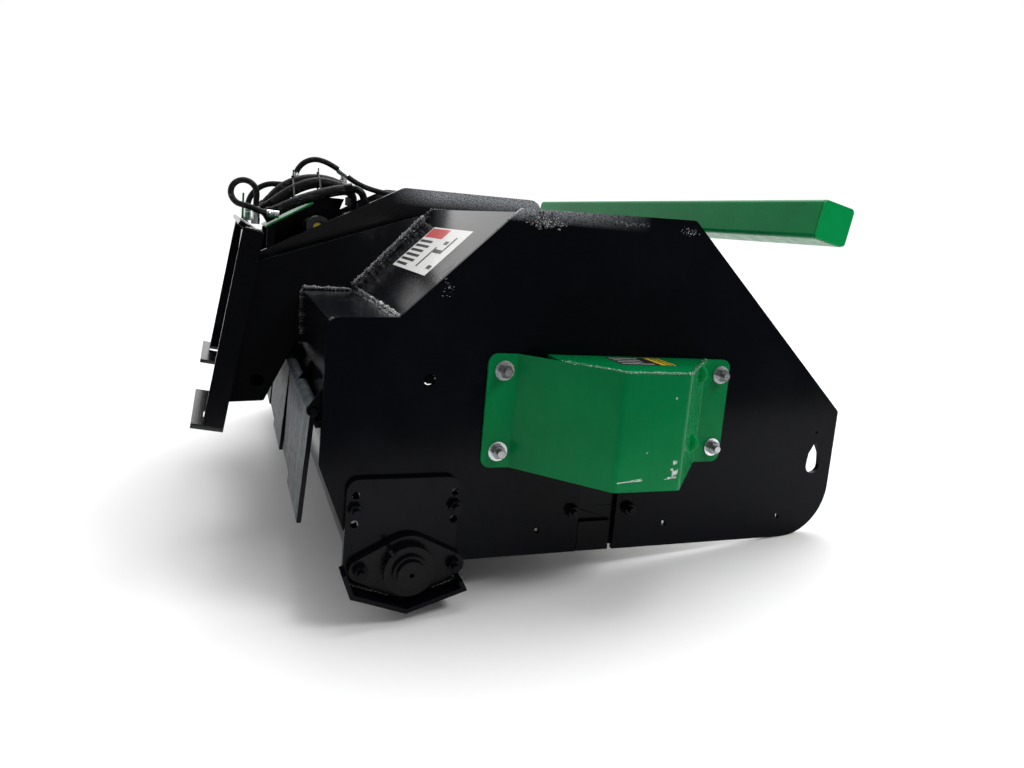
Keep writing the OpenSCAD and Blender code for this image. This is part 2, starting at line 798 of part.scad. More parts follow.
// Hose routes, from the port block's elbows back to the couplers over the tray.
hose_1_route = [[138, -92, 813], [128, -92, 811], [114, -92, 808], [100, -92, 804],
    [86, -92, 799.5], [72, -92, 794.5], [57, -92, 789], [42, -92, 783], [27, -92, 777],
    [12, -92, 770.5], [-2, -92, 763.5], [-11, -92, 758.7], [-19, -92, 754.3], [-27, -92, 749.8],
    [-35, -92, 745.2], [-42, -92, 741], [-50, -92, 736.3]];
hose_2_route = [[128, -47, 820], [113, -47, 824], [98, -47, 827], [83, -47, 828.5], [68, -47, 828],
    [53, -47, 825.5], [38, -47, 821], [23, -47, 815], [9, -47, 808], [-5, -47, 800],
    [-18, -47, 791.5], [-31, -47, 782], [-43, -47, 772.5], [-54, -47, 763], [-64, -47, 754]];
hose_3_route = [[128, -2, 829], [112, -2, 834], [96, -2, 837], [80, -2, 838.5], [64, -2, 838.5],
    [48, -2, 837], [32, -2, 834], [16, -2, 829.5], [1, -2, 824], [-13, -2, 817],
    [-26, -2, 809], [-38, -2, 799.5], [-49, -2, 789], [-59, -2, 777.5], [-68, -2, 765.5]];
drain_route = [[480, 58, 812], [440, 58, 812], [400, 58, 812.5], [360, 58, 814], [320, 57, 816.5],
    [286, 56, 820], [256, 55, 824.5], [229, 55, 830.5], [204, 55, 838.5], [181, 55, 849.5],
    [160, 55, 862], [139, 55, 875.5], [117, 55, 887.5], [94, 55, 897], [70, 55, 901.5],
    [50.7, 55, 899], [32.1, 55, 890.1], [17.3, 55, 875.7], [7.6, 55, 857.5], [4, 55, 836]];
return_route = [[-10, 58, 812], [-24, 58, 814], [-38, 58, 814.5], [-52, 58, 814], [-65.9, 58, 812.8],
    [-79.4, 58, 809.2], [-92, 59, 803.3], [-103.4, 59, 795.3], [-113.3, 60, 785.4], [-121.3, 60, 774],
    [-127.2, 60, 761.4], [-130.8, 60, 747.9], [-132, 60, 738], [-132, 60, 730], [-132, 60, 722]];
loop_route = [[-66, -126, 722], [-79, -126, 723], [-92, -126, 725.5], [-105, -126, 729],
    [-119, -125, 733.5], [-133, -124, 738], [-148, -123, 741], [-165.5, -121, 745.7],
    [-178.3, -119, 758.5], [-183, -117, 776], [-178.3, -115, 793.5], [-165.5, -113, 806.3],
    [-148, -111, 811], [-130.5, -109, 806.3], [-117.7, -107, 793.5], [-113, -104, 776],
    [-113, -102, 758], [-113, -101, 740], [-113, -100, 722]];

module hose_1() { color(rubber) stance() swept(hose_1_route, hose_r); }
module hose_2() { color(rubber) stance() swept(hose_2_route, hose_r); }
module hose_3() { color(rubber) stance() swept(hose_3_route, hose_r); }
module hose_drain() { color(rubber) stance() swept(drain_route, drain_r); }
module hose_return() { color(rubber) stance() swept(return_route, drain_r); }
module hose_loop() { color(rubber) stance() swept(loop_route, drain_r); }

// Quick coupler half on the end of a main hose, along its last direction.
module coupler(route) {
    tip = route[len(route) - 1];
    run = tip - route[len(route) - 2];
    translate(tip) rotate([0, -acos(run.z / norm(run)), 0]) {
        cylinder(h = 20, r = 17);
        translate([0, 0, 20]) cylinder(h = 28, r = 20);
    }
}

// Swept elbow from the front end of a main hose down to the port block.
elbow_r = 30;

module elbow(route) {
    run = route[0] - route[1];
    rise = atan2(run.z, run.x);
    throat = [route[0].x + 22 * cos(rise), route[0].z + 22 * sin(rise)];
    c = throat + elbow_r * [sin(rise), -cos(rise)];
    top = port_block[0].z + port_block[1].z + touch_gap;
    translate(route[0]) rotate([0, 90 - rise, 0]) cylinder(h = 22, r = 18);
    translate([c.x, route[0].y, c.y]) rotate([90, 0, 0]) rotate_extrude(angle = 90 + rise)
        translate([elbow_r, 0]) circle(11);
    translate([c.x + elbow_r, route[0].y, top]) cylinder(h = c.y - top, r = 10);
    translate([c.x + elbow_r, route[0].y, c.y - 26]) cylinder(h = 26, r = 17, $fn = 6);
}

module hose_couplers() {
    color(zinc) stance() for (route = [hose_1_route, hose_2_route, hose_3_route]) {
        coupler(route);
        elbow(route);
    }
}

// Upright crimp and hexagon under the end of a thin hose.
module foot_fitting(tip, hex_h) {
    translate([tip.x, tip.y, tip.z - 14.6 - hex_h]) {
        cylinder(h = hex_h, r = 12, $fn = 6);
        cylinder(h = hex_h + 14, r = 11);
    }
}

module drain_fittings() {
    color(zinc) stance() {
        translate([-8, 44, 800]) cube([26, 24, 20]);
        translate([4, 55, 819]) cylinder(h = 15, r = 11);
        foot_fitting(return_route[len(return_route) - 1], 12);
        foot_fitting(loop_route[len(loop_route) - 1], 18);
        translate(loop_route[0] + [1.5, 0, 0]) rotate([0, 90, 0]) cylinder(h = 14, r = 11);
    }
}

side_plate_right();
side_plate_left();
slot_fillers();
filler_bolts();
hood_skin();
hood_bars();
frame_rail_right();
frame_rail_left();
neck_side_right();
neck_side_left();
neck_floor();
attach_plate();
attach_end_right();
attach_end_left();
attach_lips();
drum_tube();
drum_shaft();
tooth_holders();
teeth();
drum_bearing_right();
hydraulic_motor();
drum_guard_right();
drum_guard_left();
guard_fasteners();
roller_tube();
roller_shaft();
roller_bearing_right();
roller_bearing_left();
roller_bracket_right();
roller_bracket_left();
bracket_bolts();
bearing_bolts();
flap_rod();
flap_lugs();
flap_1();
flap_2();
flap_3();
flap_4();
flap_5();
flap_6();
flap_7();
push_bar();
push_bar_caps();
push_arm_right();
push_arm_left();
arm_lugs();
arm_pins();
valve_block();
motor_pipes();
hose_tray();
knurled_coupling();
yellow_plug();
drain_fittings();
hose_1();
hose_2();
hose_3();
hose_drain();
hose_return();
hose_loop();
hose_couplers();
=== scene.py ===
"""Looks of the drum mulcher head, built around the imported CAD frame."""

import json
import math
import random

import bmesh
import bpy
from mathutils import Matrix, Vector


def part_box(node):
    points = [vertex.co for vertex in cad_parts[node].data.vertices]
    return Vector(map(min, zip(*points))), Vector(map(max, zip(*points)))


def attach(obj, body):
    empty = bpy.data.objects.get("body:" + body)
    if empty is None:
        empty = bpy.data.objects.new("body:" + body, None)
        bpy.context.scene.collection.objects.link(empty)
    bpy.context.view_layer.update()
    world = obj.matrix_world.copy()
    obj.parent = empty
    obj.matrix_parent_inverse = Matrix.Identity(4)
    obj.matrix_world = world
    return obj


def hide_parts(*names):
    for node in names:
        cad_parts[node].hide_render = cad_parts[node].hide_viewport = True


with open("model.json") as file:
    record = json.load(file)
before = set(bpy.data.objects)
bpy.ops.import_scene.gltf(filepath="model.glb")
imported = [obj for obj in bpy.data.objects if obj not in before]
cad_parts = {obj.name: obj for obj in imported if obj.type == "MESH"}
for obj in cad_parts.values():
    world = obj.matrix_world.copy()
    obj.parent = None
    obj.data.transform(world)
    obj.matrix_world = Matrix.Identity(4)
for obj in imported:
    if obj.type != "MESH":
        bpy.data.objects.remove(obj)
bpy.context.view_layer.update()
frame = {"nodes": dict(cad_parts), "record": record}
nodes = frame["nodes"]

# The head's own frame, in millimetres: x from the rear edge of a side plate, z from its
# bottom edge, y from mid-width. The stance tips it nose-down onto its roller and skids.
PITCH = math.radians(5.7304)
ROLLER_AXIS = Vector((0.192, 0, 0.008))
roller_low, roller_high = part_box("roller_tube")
TILT = Matrix.Rotation(PITCH, 4, "Y")
STANCE = Matrix.Translation((roller_low + roller_high) / 2 - TILT @ ROLLER_AXIS) @ TILT

# Outlines and faces of the CAD parts, in that frame. Half-widths are named _Y.
SIDE_Y = 926.5
CANT = math.radians(19.65)
NECK_FOOT_Y = 502
RAIL_Y = 158
HOOD = [(6, 300), (6, 528), (146, 532), (391, 778), (835, 789), (1000, 641)]
GUARD = [(346, 926.5), (415, 926.5), (582, 1113.5), (737, 1113.5), (897, 926.5), (973, 926.5)]
GUARD_T = 6
GUARD_TOP = 472
BRACKET_LIP = [(49, 12), (68, -38), (188, -81), (320, -40), (308, -17)]
ATTACH_FOOT = (-230, 218)
ATTACH_TILT = math.radians(8.8)


def head(x, y, z):
    """A point of the head's own frame, in the row frame and in metres."""
    return STANCE @ Vector((x / 1000, y / 1000, z / 1000))


def turned(x, y, z):
    """A direction of the head's own frame, in the row frame."""
    return STANCE.to_3x3() @ Vector((x, y, z))


def on_attach(f, y, up):
    """A point of the loader plate: f forward of its rear face, up from its foot."""
    x = ATTACH_FOOT[0] + f * math.cos(ATTACH_TILT) + up * math.sin(ATTACH_TILT)
    z = ATTACH_FOOT[1] - f * math.sin(ATTACH_TILT) + up * math.cos(ATTACH_TILT)
    return x, y, z


# Camera ---------------------------------------------------------------------

# The camera's place, its right and its up, all in the head's own frame.
CAMERA_SPOT = (-198.9, -2470.8, 738.5)
CAMERA_RIGHT = (0.9314, -0.3528, 0.0901)
CAMERA_UP = (-0.0338, 0.1626, 0.9861)
LENS = 26.91
SHIFT = (-0.0052, -0.0440)


def make_camera():
    cam = bpy.data.cameras.new("camera")
    cam.sensor_width = 36
    cam.lens = LENS
    cam.shift_x, cam.shift_y = SHIFT
    obj = bpy.data.objects.new("camera", cam)
    bpy.context.collection.objects.link(obj)
    right = turned(*CAMERA_RIGHT)
    up = turned(*CAMERA_UP)
    back = right.cross(up)
    turn = Matrix((right, up, back)).transposed().to_4x4()
    obj.matrix_world = Matrix.Translation(head(*CAMERA_SPOT)) @ turn
    bpy.context.scene.camera = obj


# Materials ------------------------------------------------------------------

class Shader:
    """A principled material with a few short-hands for building its nodes."""

    def __init__(self, name):
        self.mat = bpy.data.materials.new(name)
        self.mat.use_nodes = True
        self.tree = self.mat.node_tree
        self.out = self.tree.nodes["Principled BSDF"]
        self.coords = self.node("ShaderNodeTexCoord").outputs["Object"]

    def node(self, kind, **settings):
        n = self.tree.nodes.new(kind)
        for key, value in settings.items():
            setattr(n, key, value)
        return n

    def link(self, a, b):
        self.tree.links.new(a, b)

    def set(self, **values):
        """Plain values for the shader's own sockets."""
        for key, value in values.items():
            self.out.inputs[key.replace("_", " ")].default_value = value
        return self

    def noise(self, scale, detail=3.0, rough=0.5, squeeze=(1, 1, 1)):
        """Noise with that many cells to the metre."""
        place = self.node("ShaderNodeMapping")
        place.inputs["Scale"].default_value = squeeze
        self.link(self.coords, place.inputs["Vector"])
        n = self.node("ShaderNodeTexNoise")
        n.inputs["Scale"].default_value = scale
        n.inputs["Detail"].default_value = detail
        n.inputs["Roughness"].default_value = rough
        self.link(place.outputs["Vector"], n.inputs["Vector"])
        return n.outputs["Fac"]

    def height(self, low, high):
        """0 below the height low on the head, 1 above high, in metres of the row frame."""
        split = self.node("ShaderNodeSeparateXYZ")
        self.link(self.coords, split.inputs["Vector"])
        rise = self.math("MULTIPLY", split.outputs["X"], math.sin(PITCH))
        return self.ramp(self.math("ADD", split.outputs["Z"], rise), low, high)

    def ahead(self, low, high):
        """0 behind low, 1 ahead of high, in metres of the row frame."""
        split = self.node("ShaderNodeSeparateXYZ")
        self.link(self.coords, split.inputs["Vector"])
        return self.ramp(split.outputs["X"], low, high)

    def cells(self, scale):
        """Distance from the middle of the nearest cell."""
        n = self.node("ShaderNodeTexVoronoi", feature="F1")
        n.inputs["Scale"].default_value = scale
        self.link(self.coords, n.inputs["Vector"])
        return n.outputs["Distance"]

    def ramp(self, value, low, high, a=0.0, b=1.0):
        """a where value is low, b where it is high, and even between."""
        n = self.node("ShaderNodeMapRange")
        for key, v in zip(("From Min", "From Max", "To Min", "To Max"), (low, high, a, b)):
            n.inputs[key].default_value = v
        self.link(value, n.inputs["Value"])
        return n.outputs["Result"]

    def math(self, kind, a, b):
        n = self.node("ShaderNodeMath", operation=kind)
        for socket, v in zip(n.inputs, (a, b)):
            if isinstance(v, (int, float)):
                socket.default_value = v
            else:
                self.link(v, socket)
        return n.outputs["Value"]

    def mix(self, factor, a, b):
        n = self.node("ShaderNodeMix", data_type="RGBA")
        self.link(factor, n.inputs["Factor"])
        for socket, v in ((n.inputs["A"], a), (n.inputs["B"], b)):
            if isinstance(v, tuple):
                socket.default_value = (*v, 1)
            else:
                self.link(v, socket)
        return n.outputs["Result"]

    def colour(self, value):
        self.link(value, self.out.inputs["Base Color"])
        return self

    def rough(self, value):
        self.link(value, self.out.inputs["Roughness"])
        return self

    def bumps(self, *layers):
        """Each layer is (height, strength, distance in metres)."""
        last = None
        for height, strength, distance in layers:
            n = self.node("ShaderNodeBump")
            n.inputs["Strength"].default_value = strength
            n.inputs["Distance"].default_value = distance
            self.link(height, n.inputs["Height"])
            if last is not None:
                self.link(last, n.inputs["Normal"])
            last = n.outputs["Normal"]
        self.link(last, self.out.inputs["Normal"])
        return self


def black_paint(name="black_paint", gloss=0.09, painted_sheen=None):
    """Blue-black enamel with orange peel and faint dust; gloss is its specular level.

    The last argument is (low, high, rear, front): a painted highlight of pale specks that grows
    between those heights and between those distances forward, in metres of the row frame."""
    s = Shader(name).set(Specular_IOR_Level=gloss)
    dust = s.ramp(s.noise(5, 6, 0.6), 0.5, 0.85)
    dry = s.ramp(s.noise(9, 4, 0.7), 0.55, 0.72)
    peel = s.noise(260, 2, 0.5)
    grain = s.noise(900, 2, 0.6)
    body = s.mix(dust, (0.0022, 0.0026, 0.0040), (0.0046, 0.0054, 0.0074))
    # Painted highlight: pale specks mixed into the colour high on the face, standing in for a
    # glancing sheen.
    if painted_sheen:
        speckle = s.ramp(s.noise(260, 3, 0.7), 0.34, 0.60)
        rise, ahead = s.height(*painted_sheen[:2]), s.ahead(*painted_sheen[2:])
        mask = s.math("MULTIPLY", s.math("MULTIPLY", rise, ahead), speckle)
        body = s.mix(mask, body, (0.72, 0.75, 0.80))
    s.colour(body)
    s.rough(s.math("ADD", s.ramp(dry, 0, 1, 0.12, 0.26), s.ramp(grain, 0.3, 0.7, 0, 0.06)))
    return s.bumps((peel, 0.10, 0.002), (s.math("MULTIPLY", grain, dry), 0.20, 0.0006)).mat


def flap_paint():
    """Dull scuffed enamel with pale streaks down the flaps."""
    s = Shader("flap_paint").set(Specular_IOR_Level=0.10)
    streak = s.ramp(s.noise(26, 5, 0.6, (1, 1, 0.12)), 0.42, 0.72)
    s.colour(s.mix(streak, (0.030, 0.036, 0.040), (0.085, 0.100, 0.108)))
    s.rough(s.ramp(s.noise(60, 4, 0.6), 0.3, 0.7, 0.42, 0.62))
    return s.bumps((s.noise(260, 4, 0.6), 0.25, 0.001)).mat


def gloss_casting():
    """Gloss black enamel sprayed thickly over a sand casting."""
    s = Shader("gloss_casting").set(Specular_IOR_Level=0.13)
    sand = s.noise(420, 4, 0.65)
    s.colour(s.mix(s.ramp(sand, 0.5, 0.75), (0.0024, 0.0027, 0.0036), (0.007, 0.008, 0.010)))
    s.rough(s.ramp(sand, 0.3, 0.7, 0.12, 0.28))
    return s.bumps((sand, 0.25, 0.0008)).mat


def weld_paint(name="weld_paint", base=(0.003, 0.004, 0.006), shine=(0.62, 0.64, 0.68)):
    """The same enamel over rough weld metal, with pale specks painted in as glints: painted
    highlights.
    """
    s = Shader(name).set(Coat_Weight=0.45, Coat_Roughness=0.05)
    lumps = s.noise(330, 4, 0.65)
    # Painted highlights: pale specks of the shine colour stand in for glints on the weld lumps.
    painted_glints = s.math("MULTIPLY", s.ramp(s.noise(410, 2, 0.5), 0.55, 0.60), s.ramp(lumps, 0.45, 0.55))
    s.colour(s.mix(painted_glints, base, shine))
    s.rough(s.ramp(lumps, 0.3, 0.7, 0.10, 0.34))
    return s.bumps((lumps, 0.7, 0.0022)).mat


def green_paint(name="green_paint", a=(0.0, 0.165, 0.046), b=(0.0, 0.205, 0.056)):
    """Gloss green enamel with orange peel and a few dry streaks."""
    s = Shader(name).set(Specular_IOR_Level=0.10)
    cloud = s.noise(3.5, 4, 0.6)
    peel = s.noise(300, 2, 0.5)
    chips = s.ramp(s.cells(140), 0.02, 0.06, 1, 0)
    rare = s.ramp(s.noise(14, 3, 0.6), 0.66, 0.72)
    body = s.mix(s.ramp(cloud, 0.35, 0.65), a, b)
    s.colour(s.mix(s.math("MULTIPLY", chips, rare), body, (0.30, 0.42, 0.36)))
    s.rough(s.ramp(s.noise(24, 1, 0.5), 0.3, 0.7, 0.24, 0.32))
    return s.bumps((peel, 0.2, 0.00002)).mat


def zinc_plate(name="zinc_plate", shade=1.0):
    """Bright zinc plate with a faint blush; shade darkens it."""
    s = Shader(name).set(Metallic=1.0)
    blush = s.noise(70, 4, 0.6)
    dull, fresh = [tuple(v * shade for v in c) for c in ((0.66, 0.68, 0.71), (0.80, 0.81, 0.82))]
    s.colour(s.mix(s.ramp(blush, 0.35, 0.7), dull, fresh))
    s.rough(s.ramp(s.noise(300, 4, 0.6), 0.3, 0.7, 0.24, 0.34))
    return s.bumps((s.noise(900, 2, 0.5), 0.04, 0.0003)).mat


def cast_paint():
    """Satin dark enamel over a sand casting."""
    s = Shader("cast_paint").set(Coat_Weight=0.25, Coat_Roughness=0.15)
    sand = s.noise(700, 4, 0.7)
    s.colour(s.mix(s.ramp(s.noise(20, 4), 0.4, 0.7), (0.012, 0.013, 0.017), (0.028, 0.03, 0.036)))
    s.rough(s.ramp(sand, 0.3, 0.7, 0.26, 0.48))
    return s.bumps((sand, 0.35, 0.0009)).mat


def bright_steel():
    """Turned shaft steel: fine rings across the axis and a few rust blooms."""
    s = Shader("bright_steel").set(Metallic=1.0)
    rings = s.noise(1800, 2, 0.5, (0.02, 1, 0.02))
    rust = s.ramp(s.noise(30, 6, 0.7), 0.60, 0.75)
    s.colour(s.mix(rust, (0.46, 0.46, 0.47), (0.22, 0.13, 0.08)))
    s.rough(s.ramp(rings, 0.3, 0.7, 0.20, 0.42))
    return s.bumps((rings, 0.15, 0.0004)).mat


def tooth_steel():
    """Forged tooth steel with bright ground flanks and brown heat scale."""
    s = Shader("tooth_steel").set(Metallic=0.85)
    scale = s.ramp(s.noise(90, 5, 0.65), 0.42, 0.62)
    s.colour(s.mix(scale, (0.30, 0.30, 0.31), (0.085, 0.068, 0.058)))
    s.rough(s.ramp(scale, 0, 1, 0.28, 0.55))
    return s.bumps((s.noise(500, 4, 0.7), 0.3, 0.0008)).mat


def hose_rubber():
    """Cloth-wrapped hose cover with its fine spiral marks, and pale lines along it painted in as
    highlights.
    """
    s = Shader("hose_rubber").set(Specular_IOR_Level=0.14)
    wrap = s.noise(700, 3, 0.6, (1, 1, 0.4))
    cover = s.mix(s.ramp(s.noise(60, 4), 0.4, 0.7), (0.005, 0.005, 0.006), (0.012, 0.012, 0.014))
    # Painted highlights: pale lines running along the hose.
    highlight_streaks = s.ramp(s.noise(330, 2, 0.4, (0.10, 1, 1)), 0.64, 0.68)
    s.colour(s.mix(highlight_streaks, cover, (0.07, 0.075, 0.08)))
    s.rough(s.ramp(wrap, 0.3, 0.7, 0.38, 0.60))
    return s.bumps((wrap, 0.4, 0.0007)).mat


def yellow_plastic():
    """Moulded plug, slightly see-through."""
    s = Shader("yellow_plastic").set(Subsurface_Weight=0.05)
    s.colour(s.mix(s.ramp(s.noise(80, 4), 0.4, 0.7), (0.62, 0.44, 0.02), (0.74, 0.56, 0.04)))
    s.rough(s.ramp(s.noise(300, 3), 0.3, 0.7, 0.35, 0.5))
    return s.bumps((s.noise(900, 3), 0.15, 0.0005)).mat


def print_film(name, a, b):
    """Printed vinyl with a slight mottle."""
    s = Shader(name).set(Coat_Weight=0.2)
    s.colour(s.mix(s.ramp(s.noise(150, 4), 0.35, 0.7), a, b))
    s.rough(s.ramp(s.noise(400, 3), 0.3, 0.7, 0.28, 0.42))
    return s.bumps((s.noise(700, 2), 0.08, 0.0004)).mat


# Colours a, b and the gloss differ from one coat to the next on the real head.
# The pale specks of rail_paint and side_paint and the lighter green of cap_paint are painted
# light.
LOOKS = {
    "black_paint": black_paint(),
    "hood_paint": black_paint("hood_paint", 0.42),
    # rail_paint and side_paint carry a painted highlight of pale specks near their upper edges.
    "rail_paint": black_paint("rail_paint", 0.42, (0.850, 0.892, -0.22, -0.08)),
    "side_paint": black_paint("side_paint", 0.07, (0.826, 0.862, 0.22, -0.12)),
    "flap_paint": flap_paint(),
    "gloss_casting": gloss_casting(),
    "weld": weld_paint(),
    # Green enamel over weld metal, with pale specks painted in as glints.
    "green_weld": weld_paint("green_weld", (0.0, 0.15, 0.045), (0.55, 0.75, 0.66)),
    "green_paint": green_paint(),
    # A lighter copy of the green: painted light, for the bright push-bar caps and plug-weld domes.
    "cap_paint": green_paint("cap_paint", (0.0, 0.27, 0.066), (0.0, 0.33, 0.080)),
    "zinc": zinc_plate(),
    "zinc_nut": zinc_plate("zinc_nut", 0.34),
    "zinc_stud": zinc_plate("zinc_stud", 0.62),
    "cast_iron": cast_paint(),
    "bright_steel": bright_steel(),
    "tooth_steel": tooth_steel(),
    "hose_rubber": hose_rubber(),
    "yellow_plastic": yellow_plastic(),
    "chip": print_film("chip", (0.30, 0.42, 0.36), (0.80, 0.82, 0.80)),
    "film_white": print_film("film_white", (0.74, 0.74, 0.72), (0.86, 0.86, 0.84)),
    "film_red": print_film("film_red", (0.50, 0.025, 0.03), (0.62, 0.045, 0.05)),
    "film_black": print_film("film_black", (0.012, 0.012, 0.012), (0.03, 0.03, 0.03)),
    "film_yellow": print_film("film_yellow", (0.70, 0.50, 0.02), (0.80, 0.60, 0.04)),
}


# CAD nodes ------------------------------------------------------------------

# Nodes that don't take the look named by their material slot.
OTHER_LOOKS = {"frame_rail_right": "rail_paint", "frame_rail_left": "rail_paint",
               "side_plate_right": "side_paint", "side_plate_left": "side_paint",
               "push_bar_caps": "cap_paint",
               "hood_skin": "hood_paint", "attach_lips": "hood_paint",
               "roller_bearing_right": "gloss_casting", "roller_bearing_left": "gloss_casting",
               "roller_shaft": "gloss_casting", "hose_couplers": "gloss_casting"}
FLAPS = [f"flap_{i}" for i in range(1, 8)]
OTHER_LOOKS.update((name, "flap_paint") for name in FLAPS)
# Width of the small round on the edges of each node, in metres; others get EDGE.
EDGE = 0.0012
EDGES = {"hood_skin": 0.002, "push_bar_caps": 0.0015, "teeth": 0.002, "tooth_holders": 0.003,
         "attach_plate": 0.002, "valve_block": 0.003, "yellow_plug": 0.003,
         "drum_guard_right": 0.0028, "drum_guard_left": 0.0028}
MERGE = 0.00002
SHARP = math.radians(34)

# Half-widths past which a guard fastener is its nut, then its stud, in metres.
WASHER_T = 4.1
NUT_TOP = 17.9
NUT_Y = (SIDE_Y + GUARD_T + WASHER_T) / 1000
STUD_Y = (SIDE_Y + GUARD_T + NUT_TOP) / 1000 + 0.001
# The hood's rear shelf lies below this height, in metres of the row frame.
SHELF_TOP = head(146, 0, 560).z


def tell_apart(obj):
    """Washers, nuts and studs of the guard fasteners differ in shade."""
    for look in ("zinc_nut", "zinc_stud"):
        obj.data.materials.append(LOOKS[look])
    for face in obj.data.polygons:
        out = max(abs(obj.data.vertices[i].co.y) for i in face.vertices)
        face.material_index = 2 if out > STUD_Y else 1 if out > NUT_Y else 0


def darken(obj, chosen):
    """Plain black enamel on the chosen faces; on the flaps' side edges this black is painted
    shade.
    """
    obj.data.materials.append(LOOKS["black_paint"])
    for face in obj.data.polygons:
        if chosen(face):
            face.material_index = 1


def dress_nodes():
    """Materials and eased edges for the CAD nodes; the hoses are replaced, so only dressed."""
    for name, obj in nodes.items():
        slot = next(p["material_slot"] for p in frame["record"]["subparts"] if p["node"] == name)
        obj.data.materials.clear()
        obj.data.materials.append(LOOKS[OTHER_LOOKS.get(name, slot)])
        if name in ROUTES:
            continue
        if name == "guard_fasteners":
            tell_apart(obj)
        if name == "hood_skin":
            darken(obj, lambda face: face.normal.z > 0.9 and face.center.z < SHELF_TOP)
        # Painted shade: the flaps' edge faces that point sideways are made black.
        if name in FLAPS:
            darken(obj, lambda face: abs(face.normal.y) > 0.9)
        weld = obj.modifiers.new("joined", "WELD")
        weld.merge_threshold = MERGE
        bevel = obj.modifiers.new("edges", "BEVEL")
        bevel.width = EDGES.get(name, EDGE)
        bevel.segments = 2
        bevel.limit_method = "ANGLE"
        bevel.angle_limit = SHARP
        tidy = obj.modifiers.new("shading", "WEIGHTED_NORMAL")
        tidy.mode = "FACE_AREA"
        tidy.weight = 100
        tidy.keep_sharp = True
        for face in obj.data.polygons:
            face.use_smooth = True


# Small pieces ---------------------------------------------------------------

def piece(name, bm, look, body="housing", smooth=True):
    """A mesh made into a piece that rides on a body, with its look and material slot."""
    mesh = bpy.data.meshes.new(name)
    bm.normal_update()
    bm.to_mesh(mesh)
    bm.free()
    obj = bpy.data.objects.new(name, mesh)
    bpy.context.collection.objects.link(obj)
    obj.data.materials.append(LOOKS[look])
    for face in mesh.polygons:
        face.use_smooth = smooth
    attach(obj, body)
    return obj


def along(points, step):
    """Points every step metres along a broken line."""
    out = []
    for a, b in zip(points, points[1:]):
        count = max(1, round((b - a).length / step))
        out += [a.lerp(b, i / count) for i in range(count)]
    return out + [points[-1]]


# A bead's ripples: points round each, and how far it stands off the seam and how flat it is,
# as shares of its radius.
RING = 8
LIFT = 0.25
FLAT = 0.72


def bead(bm, points, radius, seed, out, step=0.0042):
    """A hand-laid weld bead: overlapping ripples of uneven width along the points."""
    rng = random.Random(seed)
    path = along(points, step)
    rings = []
    for i, p in enumerate(path):
        a, b = path[max(0, i - 1)], path[min(len(path) - 1, i + 1)]
        t = (b - a).normalized()
        side = t.cross(out).normalized()
        up = side.cross(t)
        end = min(i, len(path) - 1 - i)
        taper = 0.45 if end == 0 else 1
        size = radius * (0.66 + 0.34 * (i % 2)) * rng.uniform(0.75, 1.2) * taper
        centre = p + up * radius * LIFT * rng.uniform(0.5, 1.2)
        centre += side * radius * rng.uniform(-0.14, 0.14)
        ring = []
        for k in range(RING):
            angle = 2 * math.pi * k / RING
            wobble = size * rng.uniform(0.9, 1.1)
            ring.append(bm.verts.new(centre + side * math.cos(angle) * wobble
                                     + up * math.sin(angle) * wobble * FLAT))
        rings.append(ring)
    for r0, r1 in zip(rings, rings[1:]):
        for k in range(RING):
            j = (k + 1) % RING
            bm.faces.new((r0[k], r0[j], r1[j], r1[k]))
    bm.faces.new(rings[0][::-1])
    bm.faces.new(rings[-1])


def crumbs(bm, points, shift, passes, seed):
    """Spatter balls and slag lumps scattered over the passes of a weld."""
    rng = random.Random(seed)
    for p in along(points, 0.0045):
        spot = p + shift * rng.uniform(-1.4, passes - 0.4)
        size = rng.uniform(0.0011, 0.0030)
        jitter = Vector([rng.uniform(-0.003, 0.003) for _ in range(3)])
        bmesh.ops.create_icosphere(bm, subdivisions=1, radius=size,
                                   matrix=Matrix.Translation(spot + jitter))


def neck_y(z):
    """Half-width of the neck at height z, at the outer faces of its side plates."""
    return NECK_FOOT_Y - z * math.tan(CANT)


# Domed plug welds on the front slope of each guard, and the slope's lean from the side plate.
PLUG_WELDS = [(827, 1014, 452), (818, 1024.5, 293)]
PLUG_SIZE = (0.021, 0.005, 0.021)
GUARD_SLOPE = math.atan2(GUARD[3][1] - GUARD[4][1], GUARD[4][0] - GUARD[3][0])


